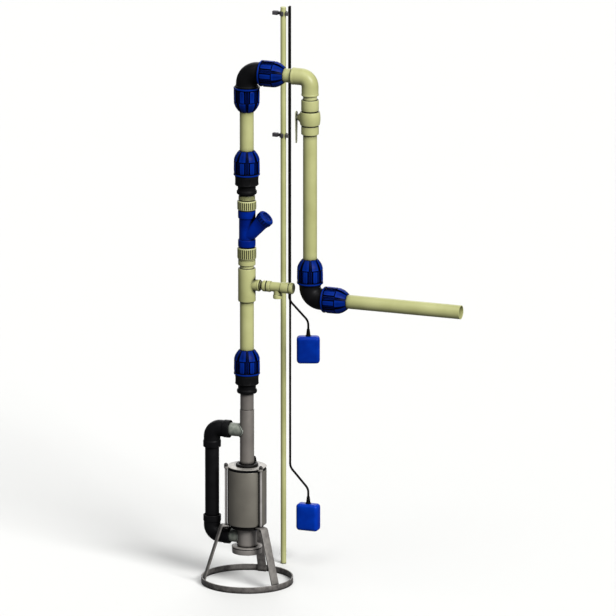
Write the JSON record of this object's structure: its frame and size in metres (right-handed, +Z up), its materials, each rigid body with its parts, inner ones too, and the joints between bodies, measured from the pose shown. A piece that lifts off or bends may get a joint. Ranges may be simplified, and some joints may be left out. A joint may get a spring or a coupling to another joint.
{
  "type": "submersible pump with riser and outlet pipework",
  "caption": "Submersible pump on a ring stand with a bypass, a riser with check and relief valves, a gooseneck with a lever ball valve, an outlet pipe and a level rail with float switches.",
  "frame": {"origin": "on the floor, under the middle of the standing pieces' footprint; the riser's axis stands at x = -0.3245, y = -0.06625", "axes": "+Z up along the riser, +X along the outlet pipe towards its open end, +Y towards the level rail"},
  "size_m": [0.981, 0.4812, 2.062],
  "materials": {
    "stand_steel": "mill finish flat bar",
    "pump_steel": "satin",
    "dark_casting": "matt",
    "black_plastic": "moulded, semi-matt",
    "blue_plastic": "moulded, satin",
    "cream_pvc": "extruded, satin",
    "pale_plastic": "moulded, satin",
    "cable_rubber": "matt"
  },
  "bodies": {
    "pump_set": {"base_ring": "stand_steel", "leg_left": "stand_steel", "leg_right": "stand_steel", "leg_rear": "stand_steel", "intake_flange": "pump_steel", "pump_barrel": "pump_steel", "motor_lower_plate": "dark_casting", "motor_housing": "pump_steel", "motor_top_cover": "pump_steel", "tie_rod_left": "pump_steel", "tie_rod_right": "pump_steel", "tie_rod_rear": "pump_steel", "cable_gland": "black_plastic", "steel_riser": "pump_steel", "bypass_upper_elbow": "black_plastic", "bypass_lower_elbow": "black_plastic", "bypass_pipe": "black_plastic", "adaptor_lower_body": "black_plastic", "adaptor_lower_nut": "blue_plastic", "riser_pipe_lower": "cream_pvc", "riser_tee": "cream_pvc", "relief_valve": "cream_pvc", "relief_cap": "cream_pvc", "tee_nipple": "cream_pvc", "union_lower_socket": "cream_pvc", "union_lower_nut": "cream_pvc", "check_valve_body": "blue_plastic", "check_valve_cap": "blue_plastic", "union_upper_nut": "cream_pvc", "union_upper_socket": "cream_pvc", "adaptor_upper_body": "black_plastic", "adaptor_upper_nut": "blue_plastic", "riser_pipe_upper": "cream_pvc", "top_elbow": "black_plastic", "top_elbow_nut_down": "blue_plastic", "top_elbow_nut_side": "blue_plastic", "gooseneck_pipe": "cream_pvc", "pvc_elbow": "cream_pvc", "elbow_nipple": "cream_pvc", "ball_valve_body": "cream_pvc", "downpipe": "cream_pvc", "outlet_elbow": "black_plastic", "outlet_elbow_nut_up": "blue_plastic", "outlet_elbow_nut_side": "blue_plastic", "discharge_pipe": "cream_pvc", "level_rail": "cream_pvc", "rail_clip_upper": "black_plastic", "rail_clip_lower": "black_plastic", "float_upper": "blue_plastic", "float_lower": "blue_plastic", "float_lead_upper": "cable_rubber", "float_lead_lower": "cable_rubber"},
    "lever": {"valve_lever": "pale_plastic"}
  },
  "joints": [
    {"name": "lever_turn", "type": "hinge", "parent": "pump_set", "child": "lever", "pos_m": [-0.1355, -0.06625, 1.732], "axis": [-1, 0, 0], "range_deg": [0, 90]}
  ]
}
